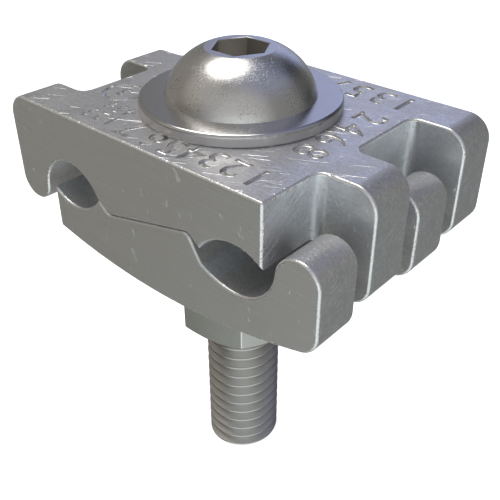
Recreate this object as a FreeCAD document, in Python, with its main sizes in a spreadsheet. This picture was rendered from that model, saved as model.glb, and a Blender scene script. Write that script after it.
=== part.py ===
import FreeCAD, Part
import Sketcher
import math
import os
import re

# Ground clamp for a cable tray: two cast jaws with interlocking fingers on one button head screw.
# All lengths are in millimetres. The origin lies on the screw's axis at the nut's lower face, where
# the free end of the screw starts. +Z runs up the screw to its head, +X across the two conductor
# grooves, and Y along the conductors. Each piece is drawn from the flat top of the upper jaw, with
# the screw's axis in the middle, and its body is then raised by the height of that top.

# Driving dimensions: name, value, what it measures.
SIZES = [
    ("screw_diameter", 9.525, "major diameter of the 3/8 in screw thread"),
    ("thread_pitch", 1.5875, "16 threads to the inch"),
    ("screw_length", 50.8, "under the head, 2 in"),
    ("thread_spare", 2.64, "thread on the screw above the nut"),
    ("thread_phase", 1.373, "height of the thread's groove above a whole pitch, on the +X side"),
    ("thread_flank", 30.0, "half the included angle of the thread, in degrees"),
    ("shank_relief", 0.125, "plain part under the head, smaller than the thread"),
    ("tip_chamfer", 0.25, "chamfer at the screw's end"),
    ("head_diameter", 16.66, "button head at its base"),
    ("head_height", 5.03, "button head"),
    ("socket_ring", 0.66, "flat ring outside the corners of the socket"),
    ("head_arc", 7.0, "radius of the domed side in section"),
    ("socket_flats", 5.56, "hexagon socket across flats, 7/32 in"),
    ("socket_depth", 3.2, "hexagon socket"),
    ("socket_cone", 25.0, "slope of the cone at the socket's bottom, in degrees"),
    ("cover_diameter", 22.225, "washer under the head, 7/8 in"),
    ("cover_thickness", 1.35, "washer under the head"),
    ("cover_play", 0.475, "that washer's hole over the screw's diameter"),
    ("cover_rim", 0.4, "rounding of that washer's upper rim"),
    ("jaw_rise", 8.45, "from a jaw's outer face to the parting plane"),
    ("part_gap", 0.1, "upright gap between the closed jaws"),
    ("jaw_play", 0.794, "screw hole in both jaws over the screw's diameter, 1/32 in"),
    ("outer_finger", 5.6, "width of the fingers at the two ends"),
    ("inner_finger", 5.7, "width of the fingers near the middle"),
    ("finger_gap", 2.3, "between the fingers of one jaw and those of the other"),
    ("finger_thickness", 5.1, "finger, measured across the clamp"),
    ("finger_reach", 4.35, "finger tip past the parting plane"),
    ("tip_inner", 2.7, "radius of the finger tip on its groove side"),
    ("finger_corner", 2.7, "outer corner of the upper jaw"),
    ("heel_corner", 2.6, "outer corner of the lower jaw"),
    ("notch_fillet", 1.2, "inner corners of the notches between fingers"),
    ("entry_gap", 1.4, "slot between a finger and the end wall of the other jaw"),
    ("groove_spread", 12.3, "screw axis to the middle of a conductor groove"),
    ("groove_depth", 2.7, "depth of each groove from the parting plane"),
    ("hook_radius", 4.9, "groove beside a jaw's own front finger"),
    ("land_extra", 0.55, "how much larger the groove beside the other jaw's front finger is"),
    ("flank_radius", 8.0, "flatter inner part of the lower jaw's front groove"),
    ("flank_angle", 33.4, "sweep of that part, in degrees"),
    ("toe_angle", 28.65, "where the toe leaves the groove, in degrees above its axis"),
    ("lip_angle", 33.4, "where the groove's inner lip lies, in degrees above its axis"),
    ("toe_run", 1.8, "from the toe's start to the corner of the slanted key"),
    ("key_rise", 1.5, "corner of the slanted key from the parting plane"),
    ("key_fillet", 1.0, "rounding of the key's corners"),
    ("crown_radius", 72.0, "convex underside of the lower jaw"),
    ("seat_depth", 0.6, "washer seat cut into the convex underside"),
    ("seat_play", 0.9, "washer seat over the flat washer's diameter"),
    ("plate_diameter", 20.6, "flat washer over the nut, 13/16 in"),
    ("plate_thickness", 1.65, "flat washer over the nut"),
    ("plate_play", 0.775, "that washer's hole over the screw's diameter"),
    ("lock_diameter", 17.3, "split lock washer"),
    ("lock_thickness", 2.39, "split lock washer"),
    ("lock_play", 0.275, "that washer's hole over the screw's diameter"),
    ("lock_split", 1.2, "width of the cut through the lock washer"),
    ("lock_slant", 60.0, "slope of that cut, in degrees"),
    ("nut_flats", 14.2875, "hexagon nut across flats, 9/16 in"),
    ("nut_height", 8.33, "hexagon nut, 21/64 in"),
    ("nut_turned", 11.1, "turn of the nut about the screw, in degrees"),
    ("nut_bevel", 30.0, "slope of the nut's corner chamfer, in degrees"),
    ("thread_play", 0.12, "nut thread outside the screw thread, radially"),
]

# Heights and places that follow from the driving dimensions, as formulas of their names. Heights
# count from the flat top of the upper jaw: a base lies that far below it, a seat or a top above it.
FORMULAS = {
    "jaw_depth": "2 * outer_finger + 2 * inner_finger + 3 * finger_gap",
    "finger_wall": "groove_spread + hook_radius",
    "jaw_half": "groove_spread + hook_radius + finger_thickness",
    "tip_outer": "finger_thickness - tip_inner",
    "end_wall": "groove_spread + hook_radius - entry_gap",
    "hook_drop": "hook_radius - groove_depth",
    "tip_lift": "hook_drop + tip_inner - finger_reach",
    "tip_lean": "sqrt((hook_radius + tip_inner)^2 - (hook_drop + tip_inner - finger_reach)^2)",
    "tip_share": "hook_radius / (hook_radius + tip_inner)",
    "hook_tip_outer": "jaw_half - groove_spread - tip_lean",
    "land_radius": "hook_radius + land_extra",
    "land_drop": "hook_radius + land_extra - groove_depth",
    "toe_reach": "groove_spread - hook_radius * cos(toe_angle * 1deg)",
    "key_reach": "toe_reach - toe_run",
    "lower_back": "jaw_rise - crown_radius + sqrt(crown_radius^2 - jaw_half^2)",
    "middle_gap": "finger_gap / 2",
    "inner_edge": "finger_gap / 2 + inner_finger",
    "outer_edge": "finger_gap * 3 / 2 + inner_finger",
    "head_seat": "cover_thickness",
    "screw_tip": "cover_thickness - screw_length",
    "crown_height": "2 * jaw_rise",
    "jaw_hole": "screw_diameter + jaw_play",
    "seat_height": "2 * jaw_rise - seat_depth",
    "plate_base": "seat_height + plate_thickness",
    "lock_base": "plate_base + lock_thickness",
    "nut_base": "lock_base + nut_height",
    "screw_radius": "screw_diameter / 2",
    "thread_top": "thread_spare - lock_base",
    "thread_depth": "thread_pitch * sqrt(3) / 2 * 17 / 24",
    "thread_root": "screw_radius - thread_depth",
    "groove_half": "thread_pitch * 7 / 16 - thread_depth * tan(thread_flank * 1deg)",
    "crest_half": "thread_pitch / 16",
    "nut_major": "screw_radius + thread_play",
    "nut_minor": "thread_root + thread_play",
    "nut_corner": "nut_flats / sqrt(3)",
    "past": "1",
}

doc = FreeCAD.newDocument("ground_clamp")
dims = doc.addObject("Spreadsheet::Sheet", "dims")
SIZE_NAMES = set()
for row, (size_name, value, meaning) in enumerate(SIZES, start=1):
    dims.set(f"A{row}", size_name)
    dims.set(f"B{row}", str(value))
    dims.set(f"C{row}", meaning)
    dims.setAlias(f"B{row}", size_name)
    SIZE_NAMES.add(size_name)
doc.recompute()


def bound(formula):
    """The same formula with every name led back to the sheet's cells."""
    def lead_back(match):
        word = match.group(0)
        if word in FORMULAS:
            return f"({bound(FORMULAS[word])})"
        return f"dims.{word}" if word in SIZE_NAMES else word
    return re.sub(r"[a-z_]+", lead_back, formula)


def value_of(formula):
    """What a formula comes to, in millimetres or degrees."""
    return float(dims.evalExpression(bound(formula)))


def origin_item(body, role):
    """One of the body's own origin planes or axes."""
    for item in body.Origin.OriginFeatures:
        if item.Role == role:
            return item
    raise ValueError(role)


def new_body(name):
    """A body whose own frame starts at the flat top of the upper jaw."""
    body = doc.addObject("PartDesign::Body", name)
    body.Label = name
    body.setExpression("Placement.Base.z", bound("nut_base"))
    return body


def new_sketch(body, name, plane):
    sketch = body.newObject("Sketcher::SketchObject", name)
    sketch.AttachmentSupport = (origin_item(body, plane), [""])
    sketch.MapMode = "FlatFace"
    return sketch


def fix(sketch, kind, targets, formula, name):
    """One constraint of the sketch, bound to the sheet."""
    index = sketch.addConstraint(Sketcher.Constraint(kind, *targets, value_of(formula)))
    sketch.renameConstraint(index, name)
    sketch.setExpression(f"Constraints.{name}", bound(formula))


def place_point(sketch, geometry, end, x, y, name):
    """Holds one end of a sketch line or arc at x, y."""
    for kind, formula, letter in (("DistanceX", x, "x"), ("DistanceY", y, "y")):
        if abs(value_of(formula)) < 1e-9:
            on_axis = -2 if kind == "DistanceX" else -1
            sketch.addConstraint(Sketcher.Constraint("PointOnObject", geometry, end, on_axis))
        else:
            fix(sketch, kind, (-1, 1, geometry, end), formula, f"{name}_{letter}")


def arc_between(start, stop, radius, turn):
    """The shorter arc of a radius from start to stop; turn is 1 anticlockwise and -1 clockwise."""
    middle = (start + stop) / 2
    chord = stop - start
    side = FreeCAD.Vector(-chord.y, chord.x, 0)
    side.normalize()
    rise = math.sqrt(max(radius**2 - (chord.Length / 2) ** 2, 0))
    centre = middle + side * (turn * rise)
    peak = centre - side * (turn * radius)
    return Part.Arc(start, peak, stop)


def outline(sketch, corners):
    """A closed outline. Each corner is name, x, y and, where an arc leads on from it, radius and turn."""
    points = []
    for corner in corners:
        points.append(FreeCAD.Vector(value_of(corner[1]), value_of(corner[2]), 0))
    count = len(corners)
    leads = []
    for number, corner in enumerate(corners):
        start = points[number]
        stop = points[(number + 1) % count]
        if len(corner) == 3:
            sketch.addGeometry(Part.LineSegment(start, stop))
            leads.append((number, 1, 2))
        else:
            sketch.addGeometry(arc_between(start, stop, value_of(corner[3]), corner[4]))
            leads.append((number, 1, 2) if corner[4] > 0 else (number, 2, 1))
    for number, corner in enumerate(corners):
        before = leads[number - 1]
        after = leads[number]
        sketch.addConstraint(Sketcher.Constraint("Coincident", before[0], before[2], after[0], after[1]))
        place_point(sketch, after[0], after[1], corner[1], corner[2], corner[0])
    for number, corner in enumerate(corners):
        if len(corner) > 3:
            fix(sketch, "Radius", (number,), corner[3], f"{corner[0]}_radius")


def circle(sketch, diameter, name):
    """A circle about the sketch's origin."""
    up = FreeCAD.Vector(0, 0, 1)
    number = sketch.addGeometry(Part.Circle(FreeCAD.Vector(), up, value_of(diameter) / 2))
    sketch.addConstraint(Sketcher.Constraint("Coincident", number, 3, -1, 1))
    fix(sketch, "Diameter", (number,), diameter, name)


def hexagon(sketch, flats, turned, name):
    """A hexagon about the sketch's origin, with its first corner turned from the X axis."""
    corners = []
    for number in range(6):
        angle = f"({turned} + {60 * number}) * 1deg"
        reach = f"({flats}) / sqrt(3)"
        corners.append((f"{name}{number}", f"{reach} * cos({angle})", f"{reach} * sin({angle})"))
    outline(sketch, corners)


def feature(body, kind, name, sketch, **lengths):
    """A sketch-based feature whose lengths are formulas."""
    made = body.newObject(f"PartDesign::{kind}", name)
    made.Profile = sketch
    for key, formula in lengths.items():
        made.setExpression(key, bound(formula))
    return made


def turned_shape(body, kind, name, sketch):
    """A full revolution or groove about the sketch's upright axis."""
    made = feature(body, kind, name, sketch)
    made.ReferenceAxis = (sketch, ["V_Axis"])
    made.Angle = 360.0
    return made


def edges_along_y(shape, places):
    """Names of the straight edges along Y nearest to the given x, z places."""
    names = []
    for x, z in places:
        nearest = None
        for number, edge in enumerate(shape.Edges, start=1):
            ends = [vertex.Point for vertex in edge.Vertexes]
            if len(ends) != 2 or (ends[0] - ends[1]).cross(FreeCAD.Vector(0, 1, 0)).Length > 1e-6:
                continue
            away = math.hypot(ends[0].x - x, ends[0].z - z)
            if nearest is None or away < nearest[0]:
                nearest = (away, f"Edge{number}")
        names.append(nearest[1])
    return names


def rounded(body, base, name, places, radius):
    """Rounds the edges along Y at the given places, each an x and a z formula."""
    doc.recompute()
    spots = [(value_of(x), value_of(z)) for x, z in places]
    made = body.newObject("PartDesign::Fillet", name)
    made.Base = (base, edges_along_y(base.Shape, spots))
    made.setExpression("Radius", bound(radius))
    return made


def cut_thread(body, name, low, high, centre, mouth, root, root_half):
    """Cuts a right-hand thread from low to high, as a groove from mouth to root swept along a helix."""
    # The groove starts a whole number of pitches below its place, clear of the low end.
    turns = math.floor((value_of(low) - value_of(centre)) / value_of("thread_pitch")) - 1
    start = f"({centre}) + ({turns}) * thread_pitch"
    mouth_half = f"({root_half}) + abs(({mouth}) - ({root})) * tan(thread_flank * 1deg)"
    sketch = new_sketch(body, f"{name}_profile", "XZ_Plane")
    outline(sketch, [
        ("mouth_low", mouth, f"{start} - ({mouth_half})"),
        ("root_low", root, f"{start} - ({root_half})"),
        ("root_high", root, f"{start} + ({root_half})"),
        ("mouth_high", mouth, f"{start} + ({mouth_half})"),
    ])
    thread = body.newObject("PartDesign::SubtractiveHelix", name)
    thread.Profile = sketch
    thread.ReferenceAxis = (sketch, ["V_Axis"])
    thread.Mode = "pitch-height-angle"
    thread.setExpression("Pitch", bound("thread_pitch"))
    thread.setExpression("Height", bound(f"({high}) - ({start})"))
    return thread


def build_cap_screw():
    """Button head screw with a hexagon socket; its threaded end points down."""
    body = new_body("cap_screw")
    blank = new_sketch(body, "screw_profile", "XZ_Plane")
    top = "head_seat + head_height"
    shank = "screw_radius - shank_relief / 2"
    outline(blank, [
        ("tip_middle", "0", "screw_tip"),
        ("tip_edge", "screw_radius - tip_chamfer", "screw_tip"),
        ("tip_shoulder", "screw_radius", "screw_tip + tip_chamfer"),
        ("thread_end", "screw_radius", "thread_top"),
        ("shank_start", shank, "thread_top"),
        ("shank_top", shank, "head_seat"),
        ("head_edge", "head_diameter / 2", "head_seat", "head_arc", 1),
        ("flat_edge", "socket_flats / sqrt(3) + socket_ring", top),
        ("flat_middle", "0", top),
    ])
    turned_shape(body, "Revolution", "screw_blank", blank)
    socket = new_sketch(body, "socket_plan", "XY_Plane")
    hexagon(socket, "socket_flats", "0", "socket")
    socket.setExpression("AttachmentOffset.Base.z", bound(top))
    feature(body, "Pocket", "socket", socket, Length="socket_depth")
    cone = new_sketch(body, "socket_cone_profile", "XZ_Plane")
    floor = f"{top} - socket_depth"
    outline(cone, [
        ("point", "0", f"{floor} - socket_flats / 2 * tan(socket_cone * 1deg)"),
        ("rim", "socket_flats / 2", floor),
        ("rim_middle", "0", floor),
    ])
    turned_shape(body, "Groove", "socket_point", cone)
    cut_thread(
        body, "thread", "screw_tip", "thread_top - thread_pitch / 2",
        "thread_phase", "screw_radius + past", "thread_root", "groove_half",
    )
    return body


def build_ring(name, outer, hole, base, thickness):
    """A flat ring about the screw, standing on its base height."""
    body = new_body(name)
    sketch = new_sketch(body, f"{name}_plan", "XY_Plane")
    circle(sketch, outer, "outer")
    circle(sketch, hole, "hole")
    sketch.setExpression("AttachmentOffset.Base.z", bound(base))
    feature(body, "Pad", f"{name}_ring", sketch, Length=thickness)
    return body


def build_head_washer():
    """Broad washer under the screw's head, with a rounded upper rim."""
    body = build_ring("head_washer", "cover_diameter", "screw_diameter + cover_play", "0", "cover_thickness")
    doc.recompute()
    base = body.Tip
    edge_name = ""
    for number, edge in enumerate(base.Shape.Edges, start=1):
        box = edge.BoundBox
        if box.ZMin > value_of("cover_thickness") - 1e-6 and box.XLength > value_of("cover_diameter") - 1e-3:
            edge_name = f"Edge{number}"
    rim = body.newObject("PartDesign::Fillet", "rim")
    rim.Base = (base, [edge_name])
    rim.setExpression("Radius", bound("cover_rim"))
    return body


def jaw_outline(body, name, lower):
    """Section of a jaw across the grooves. The lower jaw is the upper one turned over about the Y axis."""
    half_gap = "part_gap / 2"
    tip = "-finger_reach"
    back = "lower_back" if lower else "jaw_rise"
    # Corners as they lie on the upper jaw: across, and up from the parting plane. On the left, the
    # rounding of the finger's tip runs straight into the groove, and the two arcs touch.
    tip_end = ("-groove_spread - tip_lean * tip_share", "-hook_drop + tip_lift * tip_share")
    corners = [
        ("heel_left", "-jaw_half", back),
        ("tip_left_out", "-jaw_half", f"{tip} + hook_tip_outer", "hook_tip_outer", 1),
        ("tip_left", "-groove_spread - tip_lean", tip, "tip_inner", 1),
        ("hook_left", *tip_end, "hook_radius", -1),
    ]
    if lower:
        flank_run = "flank_radius * sin(flank_angle * 1deg)"
        flank_fall = "flank_radius * (1 - cos(flank_angle * 1deg))"
        corners += [
            ("groove_end", "-groove_spread", "groove_depth", "flank_radius", -1),
            ("flank", f"-groove_spread + {flank_run}", f"groove_depth - {flank_fall}"),
        ]
    else:
        corners.append(("toe", "-toe_reach", "-hook_drop + hook_radius * sin(toe_angle * 1deg)"))
    lip = "groove_spread - land_radius * cos(lip_angle * 1deg)"
    land_wall = "-land_drop + sqrt(land_radius^2 - hook_radius^2)"
    corners += [
        ("key_left", "-key_reach", f"-key_rise + {half_gap}"),
        ("key_right", f"key_reach + {half_gap}", f"key_rise + {half_gap}"),
        ("lip_right", lip, "-land_drop + land_radius * sin(lip_angle * 1deg)", "land_radius", -1),
        ("hook_right", "finger_wall", land_wall),
        ("tip_right_in", "finger_wall", f"{tip} + tip_inner", "tip_inner", 1),
        ("tip_right", "jaw_half - tip_outer", tip, "tip_outer", 1),
        ("tip_right_out", "jaw_half", f"{tip} + tip_outer"),
    ]
    crown = ("crown_radius", 1) if lower else ()
    corners.append(("heel_right", "jaw_half", back) + crown)
    placed = []
    for corner in corners:
        placed.append((corner[0], *turned_over(corner[1], corner[2], lower), *corner[3:]))
    sketch = new_sketch(body, f"{name}_section", "XZ_Plane")
    outline(sketch, placed)
    return sketch


def turned_over(across, up, lower):
    """X and Z of a corner given on the upper jaw, or of the same corner on the lower one."""
    if lower:
        return f"-({across})", f"-jaw_rise - ({up})"
    return across, f"-jaw_rise + ({up})"


def cut_notch(body, name, side, low, high, round_low, round_high):
    """A notch between two fingers, from low to high along Y; side is 1 for +X and -1 for -X."""
    sign = "" if side > 0 else "-"
    wall = f"{sign}end_wall"
    eased = f"{sign}(end_wall + notch_fillet)"
    mouth = f"{sign}(jaw_half + past)"
    corners = [("mouth_low", mouth, low)]
    if round_low:
        corners.append(("eased_low", eased, low, "notch_fillet", -side))
        corners.append(("wall_low", wall, f"{low} + notch_fillet"))
    else:
        corners.append(("wall_low", wall, low))
    if round_high:
        corners.append(("wall_high", wall, f"{high} - notch_fillet", "notch_fillet", -side))
        corners.append(("eased_high", eased, high))
    else:
        corners.append(("wall_high", wall, high))
    corners.append(("mouth_high", mouth, high))
    sketch = new_sketch(body, f"{name}_plan", "XY_Plane")
    outline(sketch, corners)
    cut_through(body, name, sketch)


def cut_through(body, name, sketch):
    """Cuts a plan through the whole height of the body."""
    pocket = feature(body, "Pocket", name, sketch)
    pocket.Type = "ThroughAll"
    pocket.Midplane = True


def build_jaw(name, lower):
    """One cast jaw: section pushed through its depth, heels and key rounded, notches and hole cut."""
    body = new_body(name)
    block = feature(body, "Pad", f"{name}_block", jaw_outline(body, name, lower), Length="jaw_depth")
    block.Midplane = True
    back = "lower_back" if lower else "jaw_rise"
    heels = [turned_over(across, back, lower) for across in ("jaw_half", "-jaw_half")]
    eased = rounded(body, block, f"{name}_heels", heels, "heel_corner" if lower else "finger_corner")
    keys = [
        turned_over("-key_reach", "-key_rise + part_gap / 2", lower),
        turned_over("key_reach + part_gap / 2", "key_rise + part_gap / 2", lower),
    ]
    rounded(body, eased, f"{name}_keys", keys, "key_fillet")
    # The upper jaw's front notch is on the right, the lower jaw's on the left.
    front = -1 if lower else 1
    end = "jaw_depth / 2 + past"
    cut_notch(body, f"{name}_notch_front", front, f"-({end})", "-inner_edge", False, True)
    cut_notch(body, f"{name}_notch_mid_front", front, "-middle_gap", "outer_edge", True, True)
    cut_notch(body, f"{name}_notch_mid_back", -front, "-outer_edge", "middle_gap", True, True)
    cut_notch(body, f"{name}_notch_back", -front, "inner_edge", end, True, False)
    hole = new_sketch(body, f"{name}_hole_plan", "XY_Plane")
    circle(hole, "jaw_hole", "hole")
    cut_through(body, f"{name}_hole", hole)
    if lower:
        seat = new_sketch(body, "seat_plan", "XY_Plane")
        circle(seat, "plate_diameter + seat_play", "seat")
        seat.setExpression("AttachmentOffset.Base.z", bound("-crown_height - past"))
        recess = feature(body, "Pocket", "washer_seat", seat, Length="seat_depth + past")
        recess.Reversed = True
    return body


def build_lock_washer():
    """Split lock washer, flattened between the nut and the flat washer."""
    hole = "screw_diameter + lock_play"
    body = build_ring("lock_washer", "lock_diameter", hole, "-lock_base", "lock_thickness")
    sketch = new_sketch(body, "split_profile", "XZ_Plane")
    lean = "lock_thickness / tan(lock_slant * 1deg) / 2"
    outline(sketch, [
        ("low_left", f"-lock_split / 2 - {lean}", "-lock_base"),
        ("low_right", f"lock_split / 2 - {lean}", "-lock_base"),
        ("high_right", f"lock_split / 2 + {lean}", "-plate_base"),
        ("high_left", f"-lock_split / 2 + {lean}", "-plate_base"),
    ])
    feature(body, "Pocket", "split", sketch, Length="lock_diameter")
    return body


def build_hex_nut():
    """Hexagon nut with chamfered corners and a thread that runs on the screw's."""
    body = new_body("hex_nut")
    plan = new_sketch(body, "nut_plan", "XY_Plane")
    hexagon(plan, "nut_flats", "nut_turned", "corner")
    plan.setExpression("AttachmentOffset.Base.z", bound("-nut_base"))
    feature(body, "Pad", "nut_block", plan, Length="nut_height")
    far = "nut_corner + past"
    drop = f"({far} - nut_flats / 2) * tan(nut_bevel * 1deg)"
    ends = (("low_bevel", "-nut_base", "+", "-"), ("high_bevel", "-lock_base", "-", "+"))
    for name, face, inwards, outwards in ends:
        sketch = new_sketch(body, f"{name}_profile", "XZ_Plane")
        outline(sketch, [
            ("inner", "nut_flats / 2", face),
            ("outer", far, f"{face} {inwards} {drop}"),
            ("clear", far, f"{face} {outwards} past"),
            ("clear_inner", "nut_flats / 2", f"{face} {outwards} past"),
        ])
        turned_shape(body, "Groove", name, sketch)
    bore = new_sketch(body, "bore_profile", "XZ_Plane")
    mouth = "nut_major + thread_play"
    outline(bore, [
        ("low_middle", "0", "-nut_base - past"),
        ("low_clear", mouth, "-nut_base - past"),
        ("low_mouth", mouth, "-nut_base"),
        ("low_wall", "nut_minor", f"-nut_base + {mouth} - nut_minor"),
        ("high_wall", "nut_minor", f"-lock_base - ({mouth} - nut_minor)"),
        ("high_mouth", mouth, "-lock_base"),
        ("high_clear", mouth, "-lock_base + past"),
        ("high_middle", "0", "-lock_base + past"),
    ])
    turned_shape(body, "Groove", "bore", bore)
    # The nut's groove takes the ridge of the screw's thread, half a pitch from the screw's own groove.
    cut_thread(
        body, "nut_thread", "-nut_base", "-lock_base + thread_pitch",
        "thread_phase + thread_pitch / 2", "nut_minor - past", "nut_major", "crest_half",
    )
    return body


def build_flat_washer():
    """Plain washer between the lower jaw's seat and the lock washer."""
    hole = "screw_diameter + plate_play"
    return build_ring("flat_washer", "plate_diameter", hole, "-plate_base", "plate_thickness")


PIECES = [
    build_cap_screw(),
    build_head_washer(),
    build_jaw("upper_jaw", False),
    build_jaw("lower_jaw", True),
    build_flat_washer(),
    build_lock_washer(),
    build_hex_nut(),
]
doc.recompute()

for item in doc.Objects:
    if "Invalid" in item.State or "Error" in item.State:
        raise RuntimeError(f"{item.Name} failed: {item.State}")
os.makedirs("parts", exist_ok=True)
for piece in PIECES:
    shape = piece.Shape
    if shape.isNull() or not shape.isValid() or len(shape.Solids) != 1:
        raise RuntimeError(f"{piece.Label} has no single valid solid")
    shape.exportStep(f"parts/{piece.Label}.step")
    box = shape.optimalBoundingBox(False, False)
    print(f"{piece.Label}: {shape.Volume:.1f} mm3, x {box.XMin:.2f} to {box.XMax:.2f}, "
          f"y {box.YMin:.2f} to {box.YMax:.2f}, z {box.ZMin:.2f} to {box.ZMax:.2f}")
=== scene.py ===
# %% [markdown]
# A clamp that bonds two bare conductors to a cable tray. Two cast aluminium jaws with interlocking
# fingers sit on one stainless button head screw, with a broad washer above and a nut below. The sizes
# and places of all pieces come from the frame, so the first step loads it. Lengths are in metres.

# %% Load the frame
import math

import bmesh
import bpy
from mathutils import Matrix, Vector


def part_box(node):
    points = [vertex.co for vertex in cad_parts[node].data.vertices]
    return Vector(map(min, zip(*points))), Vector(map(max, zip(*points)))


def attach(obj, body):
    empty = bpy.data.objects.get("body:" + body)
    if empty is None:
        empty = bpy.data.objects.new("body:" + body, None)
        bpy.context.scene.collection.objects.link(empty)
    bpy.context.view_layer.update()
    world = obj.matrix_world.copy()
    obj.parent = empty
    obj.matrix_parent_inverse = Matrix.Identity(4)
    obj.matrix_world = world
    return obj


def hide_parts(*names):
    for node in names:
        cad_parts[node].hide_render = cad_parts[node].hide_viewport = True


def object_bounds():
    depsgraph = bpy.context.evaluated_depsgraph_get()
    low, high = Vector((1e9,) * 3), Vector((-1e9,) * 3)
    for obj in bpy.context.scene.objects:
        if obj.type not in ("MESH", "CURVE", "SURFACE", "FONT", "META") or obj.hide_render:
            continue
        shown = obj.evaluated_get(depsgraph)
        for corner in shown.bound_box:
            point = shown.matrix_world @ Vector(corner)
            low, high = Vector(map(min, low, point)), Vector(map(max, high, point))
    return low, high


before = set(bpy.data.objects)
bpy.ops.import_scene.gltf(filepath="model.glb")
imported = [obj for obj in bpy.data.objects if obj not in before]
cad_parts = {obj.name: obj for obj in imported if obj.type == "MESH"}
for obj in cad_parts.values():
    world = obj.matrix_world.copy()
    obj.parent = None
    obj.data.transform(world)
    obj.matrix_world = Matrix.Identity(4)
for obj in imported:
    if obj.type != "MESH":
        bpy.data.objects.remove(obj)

cad_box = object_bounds()
MM = 0.001
print("pieces in the frame:", sorted(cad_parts))

# %% [markdown]
# The camera stands a hand's breadth from the clamp, to its right and above it, so near fingers look
# clearly larger than far ones. It is placed by two angles and a distance from the point it looks at.
# A small shift moves the picture in the frame without turning the camera.

# %% Camera
AIM = Vector((5.985, -5.646, 16.158)) * MM
CAMERA_TURN = math.radians(41.963)
CAMERA_RISE = math.radians(33.24)
CAMERA_ROLL = math.radians(-0.22)
CAMERA_DISTANCE = 78.41 * MM
FOCAL_PIXELS = 720.51
PICTURE_PIXELS = 500
MIDDLE_PIXEL = Vector((247.76, 241.26))
SENSOR_WIDTH = 36


def direction(turn, rise):
    """Unit vector at an angle from the front towards the right, and an angle up."""
    level = math.cos(rise)
    return Vector((math.sin(turn) * level, -math.cos(turn) * level, math.sin(rise)))


camera_data = bpy.data.cameras.new("camera")
camera_data.sensor_width = SENSOR_WIDTH
camera_data.lens = FOCAL_PIXELS / PICTURE_PIXELS * camera_data.sensor_width
camera_data.shift_x = 0.5 - MIDDLE_PIXEL.x / PICTURE_PIXELS
camera_data.shift_y = MIDDLE_PIXEL.y / PICTURE_PIXELS - 0.5
camera_data.clip_start = 1 * MM
camera = bpy.data.objects.new("camera", camera_data)
bpy.context.scene.collection.objects.link(camera)
back = direction(CAMERA_TURN, CAMERA_RISE)
upright = back.to_track_quat("Z", "Y").to_matrix().to_4x4()
place = Matrix.Translation(AIM + back * CAMERA_DISTANCE)
camera.matrix_world = place @ upright @ Matrix.Rotation(CAMERA_ROLL, 4, "Z")
bpy.context.scene.camera = camera
print("camera at", [round(value / MM, 1) for value in camera.location], "mm")

# %% [markdown]
# Bare metal shows little but its surroundings, so the studio is painted on the sky: an even grey with a
# few soft glows. Each glow is a disc around one direction that fades at its rim. The bright one, high
# on the left, gives the hot spot on the screw's dome, and the blue one behind tints the flat top. The
# glows only light the metal: behind the clamp the lens sees a plain white backdrop.

# %% Studio sky
STUDIO_GREY = (0.240, 0.240, 0.238)
GLOWS = (
    # turn, rise, radius and fade in degrees, colour, strength
    (-90, 72, 10, 14, (1.0, 0.98, 0.94), 4.4),
    (-36, 38, 10, 24, (1.0, 0.95, 0.90), 0.18),
    (38, 14, 14, 46, (1.0, 1.0, 1.02), 0.28),
    (42, -36, 22, 36, (0.86, 1.0, 1.03), 0.58),
    (-45, -34, 14, 30, (1.0, 1.0, 1.1), -0.20),
    (-68, 12, 20, 34, (1.0, 0.1, -0.9), 0.018),
    (-154, 18, 8, 16, (0.42, 0.52, 1.0), 0.56),
    (-126, 22, 8, 14, (1.0, 1.0, 1.1), -0.05),
    (130, 66, 10, 36, (0.26, 0.38, 1.0), 0.17),
    (-178, 44, 10, 20, (1.0, 1.0, 1.0), -0.12),
    (166, 16, 8, 26, (1.0, 1.0, 0.98), -0.13),
    (152, -32, 14, 32, (1.1, 1.0, 0.97), -0.12),
)
WHITE = (1, 1, 1, 1)
# A mix node holds its sockets for colours at these places, behind those for plain numbers.
MIX_FIRST, MIX_SECOND, MIX_RESULT = 6, 7, 2

world = bpy.data.worlds.new("studio")
bpy.context.scene.world = world
world.use_nodes = True
sky = world.node_tree
background = sky.nodes["Background"]
looking = sky.nodes.new("ShaderNodeTexCoord").outputs["Generated"]
total = sky.nodes.new("ShaderNodeRGB").outputs[0]
total.default_value = (*STUDIO_GREY, 1)
for turn, rise, radius, fade, colour, strength in GLOWS:
    nearness = sky.nodes.new("ShaderNodeVectorMath")
    nearness.operation = "DOT_PRODUCT"
    nearness.inputs[1].default_value = direction(math.radians(turn), math.radians(rise))
    sky.links.new(looking, nearness.inputs[0])
    rim = sky.nodes.new("ShaderNodeMapRange")
    rim.interpolation_type = "SMOOTHSTEP"
    rim.inputs["From Min"].default_value = math.cos(math.radians(radius + fade))
    rim.inputs["From Max"].default_value = math.cos(math.radians(radius))
    sky.links.new(nearness.outputs["Value"], rim.inputs["Value"])
    tinted = sky.nodes.new("ShaderNodeVectorMath")
    tinted.operation = "MULTIPLY_ADD"
    sky.links.new(rim.outputs["Result"], tinted.inputs[0])
    tinted.inputs[1].default_value = [strength * part for part in colour]
    sky.links.new(total, tinted.inputs[2])
    total = tinted.outputs["Vector"]
seen_by_lens = sky.nodes.new("ShaderNodeLightPath").outputs["Is Camera Ray"]
backdrop = sky.nodes.new("ShaderNodeMix")
backdrop.data_type = "RGBA"
sky.links.new(seen_by_lens, backdrop.inputs["Factor"])
sky.links.new(total, backdrop.inputs[MIX_FIRST])
backdrop.inputs[MIX_SECOND].default_value = WHITE
sky.links.new(backdrop.outputs[MIX_RESULT], background.inputs["Color"])
bpy.context.scene.view_settings.view_transform = "Standard"
print("glows on the sky:", len(GLOWS))

# %% [markdown]
# The floor is a plain pale sheet under the screw's tip. It is kept out of mirror reflections, because
# a white sheet would wash out the grey that the flat front of the jaws reflects.

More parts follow.
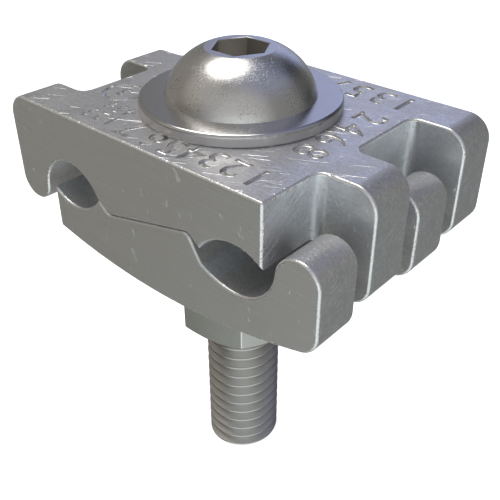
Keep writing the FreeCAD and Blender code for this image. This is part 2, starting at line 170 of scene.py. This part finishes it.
# %% Floor
FLOOR_HALF = 2.0
FLOOR_COLOUR = (0.9, 0.9, 0.9, 1)
FLOOR_ROUGH = 0.9
FLOOR_GLOW = 0.80
floor_mesh = bpy.data.meshes.new("floor")
shape = bmesh.new()
bmesh.ops.create_grid(shape, x_segments=1, y_segments=1, size=FLOOR_HALF)
bmesh.ops.translate(shape, verts=shape.verts, vec=(0, 0, cad_box[0][2]))
shape.to_mesh(floor_mesh)
shape.free()
floor = bpy.data.objects.new("floor", floor_mesh)
bpy.context.scene.collection.objects.link(floor)
floor.visible_glossy = False
paper = bpy.data.materials.new("pale_floor")
paper.use_nodes = True
paper_shader = paper.node_tree.nodes["Principled BSDF"]
paper_shader.inputs["Base Color"].default_value = FLOOR_COLOUR
paper_shader.inputs["Roughness"].default_value = FLOOR_ROUGH
paper_shader.inputs["Emission Color"].default_value = WHITE
paper_shader.inputs["Emission Strength"].default_value = FLOOR_GLOW
floor_mesh.materials.append(paper)
print("floor at", round(cad_box[0][2] / MM, 2), "mm")

# %% [markdown]
# All finishes are one shader, metal, whose colour, roughness and fine relief are mixed from patterns.
# This helper keeps the node wiring short: it adds a node, sets its plain inputs and links the rest.
# Where a finish changes from face to face, it reads a mark that the mesh gives its faces.

# %% Node helpers
NOISE_MIDDLE = 0.5
PATCHES_PER_SPACING = 0.5
PATCH_FADE = 0.04


class Finish:
    """A metal finish being wired: nodes are added by kind, with their inputs as values or links."""

    def __init__(self, name, base, roughness):
        self.material = bpy.data.materials.new(name)
        self.material.use_nodes = True
        self.tree = self.material.node_tree
        self.shader = self.tree.nodes["Principled BSDF"]
        self.shader.inputs["Metallic"].default_value = 1.0
        self.shader.inputs["Base Color"].default_value = (*base, 1)
        self.shader.inputs["Roughness"].default_value = roughness
        self.place = self.add("TexCoord").outputs["Object"]

    def add(self, kind, settings=None, **inputs):
        """A new node. Settings are its own properties, and inputs are sockets by name or by number."""
        node = self.tree.nodes.new(f"ShaderNode{kind}")
        for key, value in (settings or {}).items():
            setattr(node, key, value)
        for key, value in inputs.items():
            socket = node.inputs[int(key[1:])] if key[1:].isdigit() else node.inputs[key.replace("_", " ")]
            self.feed(socket, value)
        return node

    def feed(self, socket, value):
        """Links an output to a socket, or sets the socket to a plain value."""
        if isinstance(value, bpy.types.NodeSocket):
            self.tree.links.new(value, socket)
        else:
            socket.default_value = value

    def noise(self, scale, drawn_out=1.0, turn=(0, 0, 0), detail=2.0):
        """Cloudy pattern from 0 to 1, with so many lumps to the metre, drawn out along its own X axis."""
        turned = self.add("Mapping", {"vector_type": "TEXTURE"}, Vector=self.place, Rotation=turn,
                          Scale=(drawn_out, 1, 1)).outputs[0]
        return self.add("TexNoise", Vector=turned, Scale=scale, Detail=detail).outputs["Fac"]

    def grains(self, scale):
        """A different value from 0 to 1 in each of many small cells, like the facets of a blasted metal."""
        cells = self.add("TexVoronoi", Vector=self.place, Scale=scale).outputs["Color"]
        return self.add("SeparateColor", _0=cells).outputs[0]

    def span(self, value, low, high, to_low=0.0, to_high=1.0):
        """Maps low to high onto another span, and stops at its ends."""
        return self.add("MapRange", _0=value, _1=low, _2=high, _3=to_low, _4=to_high).outputs[0]

    def mark(self, name):
        """How far a face carries a mark that its mesh was given, from 0 to 1."""
        return self.add("Attribute", {"attribute_name": name}).outputs["Fac"]

    def math(self, operation, first, second):
        """One sum of two values, such as ADD or MULTIPLY."""
        return self.add("Math", {"operation": operation}, _0=first, _1=second).outputs[0]

    def mix(self, share, first, second):
        """Mixes two colours by a share."""
        node = self.add("Mix", {"data_type": "RGBA"}, _0=share)
        self.feed(node.inputs[MIX_FIRST], first)
        self.feed(node.inputs[MIX_SECOND], second)
        return node.outputs[MIX_RESULT]

    def blend(self, share, first, second):
        """Mixes two plain values by a share."""
        return self.add("Mix", _0=share, _2=first, _3=second).outputs[0]

    def scratches(self, turn, spacing, length, share, width=0.018):
        """Hairlines along one direction: the middle level of a long drawn-out noise, broken up by patches."""
        level = self.noise(1 / spacing, drawn_out=length / spacing, turn=turn, detail=1)
        distance = self.math("ABSOLUTE", self.math("SUBTRACT", level, NOISE_MIDDLE), 0)
        line = self.span(distance, 0.0, width, 1.0, 0.0)
        clouds = self.noise(PATCHES_PER_SPACING / spacing, turn=turn, detail=3)
        patches = self.span(clouds, 1 - share - PATCH_FADE, 1 - share)
        return self.math("MULTIPLY", line, patches)

    def relief(self, *layers):
        """Stacks height patterns, each with its depth in metres, as one bump chain."""
        normal = None
        for height, depth in layers:
            bump = self.add("Bump", Height=height, Distance=depth)
            bump.inputs["Strength"].default_value = 1.0
            if normal is not None:
                self.feed(bump.inputs["Normal"], normal)
            normal = bump.outputs["Normal"]
        self.feed(self.shader.inputs["Normal"], normal)


print("node helpers ready")

# %% [markdown]
# The jaws are cast, then cut to length, so their flat ends carry faint saw streaks across the clamp
# and a few scratches. The rest of the casting is sandy. The walls of the notches carry painted light
# high up, a lighter and bluer colour, and painted shade low down, where the gap between the jaws is
# dark. Handling has polished the edges bright. A fine noise breaks that bright band up, so that it
# looks worn and not painted.

# %% Cast aluminium
ALUMINIUM_METALLIC = 0.82
ALUMINIUM_DARK = (0.54, 0.53, 0.52, 1)
ALUMINIUM_LIGHT = (0.74, 0.735, 0.725, 1)
# Painted light: a lighter, bluer colour that stands in for light thrown into the notches and grooves.
ALUMINIUM_PAINTED_BOUNCE = (0.78, 0.81, 0.84, 1)
ALUMINIUM_TOP = (0.84, 0.84, 0.87, 1)
WORN_BRIGHT = (0.88, 0.88, 0.87, 1)
SPECK_BRIGHT = (0.92, 0.92, 0.94, 1)
# Painted shade low down in the notches, where the gap between the jaws lies in shade. Between these heights
# the notch walls go from painted shade, at this share, to full painted light.
GAP_PAINTED_SHADE = (0.20, 0.21, 0.22, 1)
SHADE_TO_LIGHT_HEIGHTS = (18.5 * MM, 24.5 * MM)
DEEPEST_PAINTED_SHADE = -0.35
WALL_SANDINESS = 0.6

# Lumps to the metre.
STREAKS = 5200
CLOUDS = 300
GRAIN = 2900
PITS = 2300
RAGGEDNESS = 3000

# The part of each pattern's range over which it fades in, and how strong it gets.
STREAK_FADE, STREAK_SHARE = (0.35, 0.65), 0.20
TOP_STREAK_FADE, TOP_STREAK_SHARE = (0.35, 0.62), 0.35
CLOUD_FADE, CLOUD_SHARE = (0.44, 0.64), 0.45
GRAIN_FADE, GRAIN_SHARE = (0.42, 0.62), 0.42
SPECK_FADE, SPECK_SHARE = (0.40, 0.34), 0.35
PIT_FADE = (0.60, 0.70)
RAGGED_FADE, LEAST_WORN = (0.42, 0.52), 0.60
SCRATCH_SHARE = 0.35
GRAIN_WORN_AWAY = 0.88

# Turn, spacing, length, the share of the surface that has them and, where it isn't the usual, the width.
FRONT_SCRATCHES = ((0, 1.30, 0), 0.6 * MM, 5 * MM, 0.345)
SIDE_SCRATCHES = ((0, -0.45, math.pi / 2), 0.8 * MM, 8 * MM, 0.50, 0.040)
TOP_SCRATCHES = ((0, 0, 0.5), 1.6 * MM, 26 * MM, 0.45)

CAST_ROUGH = (0.28, 0.42)
CLOUD_RANGE = (0.3, 0.7)
WALL_ROUGH = 0.34
SAWN_ROUGH = 0.44
WORN_ROUGH = 0.24

# Heights of the relief. Below zero it goes in.
STREAK_RELIEF = 0.005 * MM
TOP_STREAK_RELIEF = 0.008 * MM
GRAIN_RELIEF = 0.028 * MM
PIT_RELIEF = -0.016 * MM
SCRATCH_RELIEF = -0.040 * MM
CLOUD_RELIEF = 0.05 * MM


def cast_aluminium():
    """The finish of both jaws."""
    finish = Finish("cast_aluminium", ALUMINIUM_LIGHT[:3], 0.45)
    finish.shader.inputs["Metallic"].default_value = ALUMINIUM_METALLIC
    sawn = finish.mark("sawn")
    cast = finish.math("SUBTRACT", 1.0, sawn)
    top = finish.mark("flat_top")
    wall = finish.mark("notch_wall")
    streaks = finish.noise(STREAKS, drawn_out=30, turn=(0, 0.04, 0), detail=3)
    top_streaks = finish.noise(STREAKS, drawn_out=20, detail=3)
    clouds = finish.noise(CLOUDS, detail=5)
    grain = finish.noise(GRAIN, detail=4)
    pits = finish.span(finish.noise(PITS, detail=3), *PIT_FADE)

    height = finish.add("SeparateXYZ", _0=finish.place).outputs["Z"]
    # Notch walls: painted light high up and painted shade low down, by height. Groove walls: the same painted
    # light.
    painted_light_or_shade = finish.math("MULTIPLY", wall, finish.span(height, *SHADE_TO_LIGHT_HEIGHTS, DEEPEST_PAINTED_SHADE, 1.0))
    body = finish.mix(finish.math("MAXIMUM", painted_light_or_shade, 0), ALUMINIUM_LIGHT, ALUMINIUM_PAINTED_BOUNCE)
    body = finish.mix(finish.math("MAXIMUM", finish.math("MULTIPLY", painted_light_or_shade, -1), 0), body, GAP_PAINTED_SHADE)
    body = finish.mix(finish.mark("groove_wall_painted_light"), body, ALUMINIUM_PAINTED_BOUNCE)
    body = finish.mix(top, body, ALUMINIUM_TOP)

    end_lines = finish.math("MULTIPLY", finish.span(streaks, *STREAK_FADE, 0.0, STREAK_SHARE), sawn)
    body = finish.mix(end_lines, body, ALUMINIUM_DARK)
    top_lines = finish.span(top_streaks, *TOP_STREAK_FADE, 0.0, TOP_STREAK_SHARE)
    body = finish.mix(finish.math("MULTIPLY", top_lines, top), body, ALUMINIUM_DARK)
    rough_cast = finish.math("MULTIPLY", cast, finish.span(wall, 0, 1, 1.0, WALL_SANDINESS))
    mottle = finish.math("MULTIPLY", finish.span(clouds, *CLOUD_FADE, 0.0, CLOUD_SHARE), rough_cast)
    body = finish.mix(mottle, body, ALUMINIUM_DARK)
    sandy = finish.math("MULTIPLY", finish.span(grain, *GRAIN_FADE, 0.0, GRAIN_SHARE), rough_cast)
    body = finish.mix(sandy, body, ALUMINIUM_DARK)
    specks = finish.math("MULTIPLY", finish.span(grain, *SPECK_FADE), cast)
    body = finish.mix(finish.math("MULTIPLY", specks, SPECK_SHARE), body, SPECK_BRIGHT)

    front_marks = finish.scratches(*FRONT_SCRATCHES)
    side_marks = finish.scratches(*SIDE_SCRATCHES)
    top_marks = finish.scratches(*TOP_SCRATCHES)
    marks = finish.math("MULTIPLY", front_marks, finish.mark("faces_front"))
    marks = finish.math("ADD", marks, finish.math("MULTIPLY", side_marks, finish.mark("faces_side")))
    marks = finish.math("ADD", marks, finish.math("MULTIPLY", top_marks, top))

    wear = finish.mark("edge_wear")
    smooth_edge = finish.math("SUBTRACT", cast, finish.math("MULTIPLY", wear, GRAIN_WORN_AWAY))
    broken_up = finish.span(finish.noise(RAGGEDNESS, detail=4), *RAGGED_FADE, LEAST_WORN, 1.0)
    ragged = finish.math("MULTIPLY", wear, broken_up)
    body = finish.mix(finish.math("MULTIPLY", marks, SCRATCH_SHARE), body, SPECK_BRIGHT)
    finish.feed(finish.shader.inputs["Base Color"], finish.mix(ragged, body, WORN_BRIGHT))

    rough = finish.blend(wall, finish.span(clouds, *CLOUD_RANGE, *CAST_ROUGH), WALL_ROUGH)
    rough = finish.blend(sawn, rough, SAWN_ROUGH)
    bright = finish.math("MAXIMUM", ragged, finish.mark("sunken"))
    finish.feed(finish.shader.inputs["Roughness"], finish.blend(bright, rough, WORN_ROUGH))
    finish.relief(
        (finish.math("MULTIPLY", streaks, sawn), STREAK_RELIEF),
        (finish.math("MULTIPLY", top_streaks, top), TOP_STREAK_RELIEF),
        (finish.math("MULTIPLY", grain, smooth_edge), GRAIN_RELIEF),
        (finish.math("MULTIPLY", pits, cast), PIT_RELIEF),
        (marks, SCRATCH_RELIEF),
        (finish.math("MULTIPLY", clouds, rough_cast), CLOUD_RELIEF),
    )
    return finish.material


ALUMINIUM = cast_aluminium()
print("finish:", ALUMINIUM.name)

# %% [markdown]
# The screw is stainless steel, tumbled to a satin. Its sheen is speckled at about a tenth of a
# millimetre. The washers are the same metal rolled smoother, and the nut is paler and duller.

# %% Stainless steel
SPECKLES = 10500
STEEL_CLOUDS = 330
PATCHY_FADE, LEAST_PATCHY = (0.42, 0.60), 0.3
STEEL_PIT_FADE = (0.70, 1.0)
MACHINED_ROUGH, MACHINED_DARKER = 0.40, 0.3
POLISHED_ROUGH = 0.14
# Painted shade inside the screw's hex socket: its walls are darkened by this share.
SOCKET_PAINTED_SHADE = 0.4
STEEL_CLOUD_RELIEF = 0.010 * MM


def stainless(name, dark, light, smooth, rough, speckle_relief):
    """A steel finish. Smooth and rough are the roughness between its speckles and in them."""
    finish = Finish(name, light[:3], rough)
    machined = finish.mark("machined")
    polished = finish.mark("polished")
    speckle = finish.grains(SPECKLES)
    clouds = finish.noise(STEEL_CLOUDS, detail=3)
    patchy = finish.span(clouds, *PATCHY_FADE, LEAST_PATCHY, 1.0)
    tumbled = finish.math("SUBTRACT", patchy, finish.math("MAXIMUM", machined, polished))
    tumbled = finish.math("MAXIMUM", tumbled, 0)
    pits = finish.math("MULTIPLY", finish.span(speckle, *STEEL_PIT_FADE), tumbled)
    body = finish.mix(pits, light, dark)
    body = finish.mix(finish.math("MULTIPLY", machined, MACHINED_DARKER), body, dark)
    # Painted shade: the socket's walls are darkened, as a recess is in shade.
    body = finish.mix(finish.math("MULTIPLY", finish.mark("in_socket"), SOCKET_PAINTED_SHADE), body, dark)
    finish.feed(finish.shader.inputs["Base Color"], body)
    sheen = finish.span(pits, 0.0, 1.0, smooth, rough)
    sheen = finish.blend(machined, sheen, MACHINED_ROUGH)
    sheen = finish.blend(polished, sheen, POLISHED_ROUGH)
    finish.feed(finish.shader.inputs["Roughness"], sheen)
    speckled = finish.math("MULTIPLY", speckle, tumbled)
    finish.relief((speckled, speckle_relief), (clouds, STEEL_CLOUD_RELIEF))
    return finish.material


SCREW_STEEL = stainless(
    "tumbled_stainless", dark=(0.46, 0.43, 0.39, 1), light=(0.73, 0.72, 0.70, 1),
    smooth=0.22, rough=0.33, speckle_relief=0.006 * MM,
)
WASHER_STEEL = stainless(
    "rolled_stainless", dark=(0.62, 0.61, 0.60, 1), light=(0.66, 0.65, 0.65, 1),
    smooth=0.21, rough=0.27, speckle_relief=0.002 * MM,
)
NUT_STEEL = stainless(
    "dull_stainless", dark=(0.80, 0.77, 0.73, 1), light=(0.93, 0.90, 0.86, 1),
    smooth=0.34, rough=0.46, speckle_relief=0.005 * MM,
)
print("finishes:", SCREW_STEEL.name, WASHER_STEEL.name, NUT_STEEL.name)

# %% [markdown]
# The frame's solids have knife-sharp edges, but a real casting never has. A dressed copy takes the
# frame's own shape: its loose triangles are merged, its flat faces joined up, and its sharp outer
# edges rounded by a bevel. The bevel's faces are marked, so that the finish can show them worn. The
# dressed piece then rides on its body and stands in for its node.

# %% Dressing a piece of the frame
MERGE_WITHIN = 0.0005 * MM
FLAT_WITHIN = math.radians(0.2)
SHARP_OVER = math.radians(32)
BEVEL_STEPS = 3
ROUND_PROFILE = 0.5


def merged_copy(node):
    """The frame's mesh of a node, with its doubles merged and its flat faces joined."""
    shape = bmesh.new()
    shape.from_mesh(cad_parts[node].data)
    bmesh.ops.remove_doubles(shape, verts=shape.verts, dist=MERGE_WITHIN)
    bmesh.ops.dissolve_limit(shape, angle_limit=FLAT_WITHIN, verts=shape.verts, edges=shape.edges)
    return shape


def round_edges(shape, width, wanted, worn=lambda middle: 1.0):
    """Rounds the sharp outer edges that are wanted, and marks how worn the new faces are."""
    wear = shape.faces.layers.float.new("edge_wear")
    sharp = []
    for edge in shape.edges:
        if edge.is_manifold and edge.is_convex and edge.calc_face_angle() > SHARP_OVER:
            if wanted((edge.verts[0].co + edge.verts[1].co) / 2):
                sharp.append(edge)
    made = bmesh.ops.bevel(
        shape, geom=sharp, offset=width, offset_type="OFFSET", affect="EDGES",
        segments=BEVEL_STEPS, profile=ROUND_PROFILE, material=-1, clamp_overlap=False, loop_slide=False,
    )
    for face in made["faces"]:
        face[wear] = worn(face.calc_center_median())
    return len(sharp)


def finished_piece(shape, name, node, body, material):
    """Makes the object of a dressed copy, which stands for its node in the picture."""
    mesh = bpy.data.meshes.new(name)
    shape.to_mesh(mesh)
    shape.free()
    stale = mesh.attributes.get("custom_normal")
    if stale:
        mesh.attributes.remove(stale)
    mesh.materials.append(material)
    mesh.shade_smooth()
    mesh.set_sharp_from_angle(angle=SHARP_OVER)
    piece = bpy.data.objects.new(name, mesh)
    bpy.context.scene.collection.objects.link(piece)
    even = piece.modifiers.new("even_shading", "WEIGHTED_NORMAL")
    even.keep_sharp = True
    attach(piece, body)
    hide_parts(node)
    return piece


def sharpen_border(piece, mark):
    """Keeps a crisp line around the faces that carry a mark."""
    mesh = piece.data
    values = mesh.attributes[mark].data
    beside = {}
    for face in mesh.polygons:
        for key in face.edge_keys:
            beside.setdefault(key, set()).add(round(values[face.index].value))
    for edge in mesh.edges:
        edge.use_edge_sharp = edge.use_edge_sharp or len(beside[edge.key]) == 2


# %% [markdown]
# Both jaws get edges rounded by about a quarter of a millimetre, as wide as the bright lines on a
# handled casting. The rims under the washers and the thin lips inside the grooves stay sharp, because
# nobody sees them and a rounding would be wider than the faces beside it. Each face gets its marks
# first: sawn ends, flat top, walls of the notches and the grooves, and the way it faces.

# %% Rounded edges of the jaws
JAW_EDGE = 0.28 * MM
UNDER_WASHER = 11.4 * MM
LIP_ACROSS = (15.5 * MM, 17.3 * MM)
LIP_HEIGHT = (17.9 * MM, 22.5 * MM)
GROOVE_ACROSS = (7.5 * MM, 16.5 * MM)
NOTCH_STARTS = 15.5 * MM
PARTING = (17.2 * MM, 23.2 * MM)
PARTING_HALF = 11.5 * MM
PARTING_WEAR = 0.25
TOP_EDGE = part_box("upper_jaw")[1].z - 0.35 * MM
TOP_WEAR = 0.8
JAW_HALF_WIDTH, JAW_HALF_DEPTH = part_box("upper_jaw")[1].xy
AT_SIDE = 0.05 * MM
STRAIGHT_ON = 0.99
NEARLY_STRAIGHT_ON = 0.9
EDGE_ON = 0.05
FACE_MARKS = ("sawn", "flat_top", "notch_wall", "groove_wall_painted_light", "faces_front", "faces_side")


def jaw_edge_shows(middle):
    """Whether an edge with this middle gets rounded."""
    inside = abs(middle.y) < JAW_HALF_DEPTH - AT_SIDE
    across = LIP_ACROSS[0] < abs(middle.x) < LIP_ACROSS[1]
    lip = inside and across and LIP_HEIGHT[0] < middle.z < LIP_HEIGHT[1]
    return middle.xy.length > UNDER_WASHER and not lip


def jaw_edge_wear(middle):
    """The edges along the parting line are hardly touched, so they stay duller than the outer ones."""
    if abs(middle.x) < PARTING_HALF and PARTING[0] < middle.z < PARTING[1]:
        return PARTING_WEAR
    return TOP_WEAR if middle.z > TOP_EDGE else 1.0


def mark_jaw_faces(shape, top):
    """Gives each face of a jaw the marks that the finish reads."""
    marks = {name: shape.faces.layers.float.new(name) for name in FACE_MARKS}
    for face in shape.faces:
        middle = face.calc_center_median()
        normal = face.normal
        at_end = abs(middle.y) > JAW_HALF_DEPTH - AT_SIDE
        across = GROOVE_ACROSS[0] < abs(middle.x) < GROOVE_ACROSS[1]
        in_groove = across and LIP_HEIGHT[0] < middle.z < LIP_HEIGHT[1]
        upright = abs(normal.z) < EDGE_ON and abs(middle.x) < JAW_HALF_WIDTH - AT_SIDE
        face[marks["sawn"]] = float(abs(normal.y) > STRAIGHT_ON and at_end)
        # Faces inside the grooves are marked for painted light: the finish gives them the lighter colour of
        # the lit notch walls.
        face[marks["groove_wall_painted_light"]] = float(in_groove and abs(normal.y) < EDGE_ON)
        face[marks["faces_front"]] = float(abs(normal.y) > NEARLY_STRAIGHT_ON)
        face[marks["faces_side"]] = float(abs(normal.x) > NEARLY_STRAIGHT_ON)
        face[marks["flat_top"]] = float(normal.z > STRAIGHT_ON and middle.z > top - MM)
        face[marks["notch_wall"]] = float(upright and not at_end and abs(middle.x) > NOTCH_STARTS)


jaw_shapes = {}
for node in ("upper_jaw", "lower_jaw"):
    shape = merged_copy(node)
    mark_jaw_faces(shape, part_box(node)[1].z)
    count = round_edges(shape, JAW_EDGE, jaw_edge_shows, jaw_edge_wear)
    jaw_shapes[node] = shape
    print(node, "edges rounded:", count, "faces:", len(shape.faces))

# %% [markdown]
# The flat top of the upper jaw carries plain digits and a ring, sunk into it by the mould. Each digit is
# a text with a bevel, which slopes its walls as a mould does, and it becomes a mesh before it is put in
# its place.

# %% Where the digits stand
JAW_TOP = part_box("upper_jaw")[1].z
MARKS = (
    # digits, their height, turn about the vertical in degrees, and the middle of each in millimetres
    ("1234567", 3.3, 180, ((12.5, -11.6), (9.7, -11.6), (7.1, -11.6), (4.8, -12.0), (2.3, -12.3),
                           (-0.3, -12.4), (-4.0, -12.2))),
    ("123", 2.1, 180, ((-7.0, -12.2), (-8.8, -12.2), (-10.6, -12.2))),
    ("456", 1.8, 180, ((-7.2, -9.6), (-8.8, -9.6), (-10.4, -9.6))),
    ("2468", 3.6, -90, ((12.8, 6.0), (12.8, 2.6), (12.8, -0.8), (12.8, -4.2))),
    ("1357", 3.6, 180, ((13.4, 11.6), (10.6, 11.6), (7.5, 11.6), (4.4, 11.6))),
    ("3", 2.0, 180, ((-12.2, -6.2),)),
)
WALL_SLOPE = 0.20 * MM
WALL_UPRIGHT = 0.05 * MM
THINNER = -0.14 * MM
FULL_HEIGHT = 3.3
DIGIT_SHARE = 0.70
CURVE_STEPS = 4
WALL_STEPS = 2


def digit_mesh(digit, height):
    """A digit as a closed mesh about the origin, with sloping walls above and below its middle."""
    finer = min(1, height / FULL_HEIGHT)
    text = bpy.data.curves.new("digit", "FONT")
    text.body = digit
    text.size = height * MM / DIGIT_SHARE
    text.align_x = "CENTER"
    text.align_y = "CENTER"
    text.resolution_u = CURVE_STEPS
    text.extrude = WALL_UPRIGHT
    text.bevel_depth = WALL_SLOPE * finer
    text.bevel_resolution = WALL_STEPS
    text.offset = THINNER * finer
    holder = bpy.data.objects.new("digit", text)
    mesh = bpy.data.meshes.new_from_object(holder)
    bpy.data.objects.remove(holder)
    return mesh


# %% [markdown]
# All digits go into one mesh, each with its middle at the height of the jaw's top. The ring is a small
# circle that stands upright and is spun about the vertical. The cutter's faces are marked as sunken, so
# that the walls it leaves in the jaw can be shown smooth.

# %% All marks as one cutter
RING_MIDDLE = Vector((-12.2, -6.2, 0)) * MM
RING_RADIUS = 2.25 * MM
RING_STROKE = 0.24 * MM
RING_SIDES = 8
RING_STEPS = 48

cutter = bmesh.new()
count = 0
for digits, height, turn, middles in MARKS:
    for digit, middle in zip(digits, middles):
        one = bmesh.new()
        one.from_mesh(digit_mesh(digit, height))
        bmesh.ops.remove_doubles(one, verts=one.verts, dist=MERGE_WITHIN)
        low = Vector([min(vert.co[axis] for vert in one.verts) for axis in range(3)])
        high = Vector([max(vert.co[axis] for vert in one.verts) for axis in range(3)])
        spot = Vector((*middle, JAW_TOP / MM)) * MM
        moved = Matrix.Translation(spot) @ Matrix.Rotation(math.radians(turn), 4, "Z")
        bmesh.ops.transform(one, matrix=moved @ Matrix.Translation(-(low + high) / 2), verts=one.verts)
        placed = bpy.data.meshes.new("placed")
        one.to_mesh(placed)
        one.free()
        cutter.from_mesh(placed)
        count += 1
ring = bmesh.ops.create_circle(cutter, segments=RING_SIDES, radius=RING_STROKE)["verts"]
stood_up = Matrix.Translation((RING_RADIUS, 0, 0)) @ Matrix.Rotation(math.radians(90), 4, "X")
bmesh.ops.transform(cutter, matrix=stood_up, verts=ring)
profile = [edge for edge in cutter.edges if edge.verts[0] in ring]
digit_verts = set(cutter.verts) - set(ring)
bmesh.ops.spin(cutter, geom=ring + profile, axis=(0, 0, 1), cent=(0, 0, 0), angle=math.tau,
               steps=RING_STEPS, use_merge=True)
ring_verts = [vert for vert in cutter.verts if vert not in digit_verts]
bmesh.ops.translate(cutter, verts=ring_verts, vec=RING_MIDDLE + Vector((0, 0, JAW_TOP)))
bmesh.ops.recalc_face_normals(cutter, faces=cutter.faces)
sunken = cutter.faces.layers.float.new("sunken")
for face in cutter.faces:
    face[sunken] = 1.0
open_edges = sum(not edge.is_manifold for edge in cutter.edges)
print("digits:", count, "faces of the cutter:", len(cutter.faces), "open edges:", open_edges)

# %% [markdown]
# The cutter is taken away from the upper jaw while both are objects in the scene. The result goes back
# into the jaw's shape, and both objects are removed again.

# %% Cut the marks
def mesh_object(shape, name):
    """An object with a shape's mesh, which is in the scene only for a while."""
    mesh = bpy.data.meshes.new(name)
    shape.to_mesh(mesh)
    holder = bpy.data.objects.new(name, mesh)
    bpy.context.scene.collection.objects.link(holder)
    return holder


jaw_shape = jaw_shapes["upper_jaw"]
uncut = mesh_object(jaw_shape, "uncut")
tool = mesh_object(cutter, "marks")
cutter.free()
cut = uncut.modifiers.new("cut", "BOOLEAN")
cut.operation = "DIFFERENCE"
cut.solver = "MANIFOLD"
cut.object = tool
bpy.context.view_layer.update()
marked = bpy.data.meshes.new_from_object(uncut.evaluated_get(bpy.context.evaluated_depsgraph_get()))
volume_before = jaw_shape.calc_volume()
jaw_shape.clear()
jaw_shape.from_mesh(marked)
cut_away = volume_before - jaw_shape.calc_volume()
bpy.data.objects.remove(uncut)
bpy.data.objects.remove(tool)
print("cubic millimetres cut away by the marks:", round(cut_away / MM ** 3, 2))

# %% [markdown]
# Both jaws are now dressed: they become objects, each on the body of the same name.

# %% Upper and lower jaw pieces
for node, name in (("upper_jaw", "upper_jaw_casting"), ("lower_jaw", "lower_jaw_casting")):
    jaw = finished_piece(jaw_shapes[node], name, node, node, ALUMINIUM)
    print(jaw.name, "faces:", len(jaw.data.polygons))

# %% [markdown]
# The screw's head keeps a thin bright rim where its socket meets the flat ring, and the nut's corners
# are slightly broken. Their threads stay as the frame has them. The flat ring is polished, and the
# thread below the nut and the socket's walls are left as the tool cut them. The socket's walls are
# also painted darker, as painted shade inside the recess.

# %% Screw and nut
SOCKET_EDGE = 0.08 * MM
SOCKET_REACH = 3.3 * MM
NUT_EDGE = 0.12 * MM
NUT_BORE_REACH = 6.4 * MM
RING_DEPTH = 0.01 * MM
head_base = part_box("head_washer")[1].z
head_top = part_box("cap_screw")[1].z
nut_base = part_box("hex_nut")[0].z
screw_shape = merged_copy("cap_screw")
machined = screw_shape.faces.layers.float.new("machined")
socket_shade_mark = screw_shape.faces.layers.float.new("in_socket")
polished = screw_shape.faces.layers.float.new("polished")
for face in screw_shape.faces:
    middle = face.calc_center_median()
    below_ring = middle.z < head_top - RING_DEPTH
    in_socket = middle.z > head_base and middle.xy.length < SOCKET_REACH and below_ring
    face[machined] = float(middle.z < nut_base or in_socket)
    face[socket_shade_mark] = float(in_socket)
    face[polished] = float(middle.z > head_top - RING_DEPTH)
count = round_edges(screw_shape, SOCKET_EDGE, lambda middle: middle.z > head_base + MM)
print("screw edges rounded:", count)
nut_shape = merged_copy("hex_nut")
count = round_edges(nut_shape, NUT_EDGE, lambda middle: middle.xy.length > NUT_BORE_REACH)
print("nut edges rounded:", count)
cap_screw = finished_piece(
    screw_shape, "button_head_screw", "cap_screw", "screw", SCREW_STEEL,
)
sharpen_border(cap_screw, "polished")
finished_piece(nut_shape, "clamp_nut", "hex_nut", "nut", NUT_STEEL)

# %% [markdown]
# The three washers are punched from sheet. The punch leaves a rounded upper rim, which handling has
# polished to a bright line, and a duller wall below it. A small rounding at each lower rim leaves the
# thin dark gap that a real washer shows where it stands on the jaw.

# %% Washers
WASHER_EDGE = 0.16 * MM
WALL_MACHINED = 0.9
WALL_TILT = 0.1
RIM_TILT = 0.98
WASHERS = (
    # node, name, body, distance from the axis past which an edge is rounded
    ("head_washer", "broad_washer", "screw", 8 * MM),
    ("flat_washer", "plain_washer", "washers", 7 * MM),
    ("lock_washer", "spring_washer", "washers", 6.5 * MM),
)
for node, name, body, reach in WASHERS:
    shape = merged_copy(node)
    machined = shape.faces.layers.float.new("machined")
    polished = shape.faces.layers.float.new("polished")
    for face in shape.faces:
        outside = face.calc_center_median().xy.length > reach
        face[machined] = WALL_MACHINED * float(outside and abs(face.normal.z) < WALL_TILT)
        face[polished] = float(outside and WALL_TILT < face.normal.z < RIM_TILT)
    count = round_edges(shape, WASHER_EDGE, lambda middle: middle.xy.length > reach)
    print(name, "edges rounded:", count)
    finished_piece(shape, name, node, body, WASHER_STEEL)
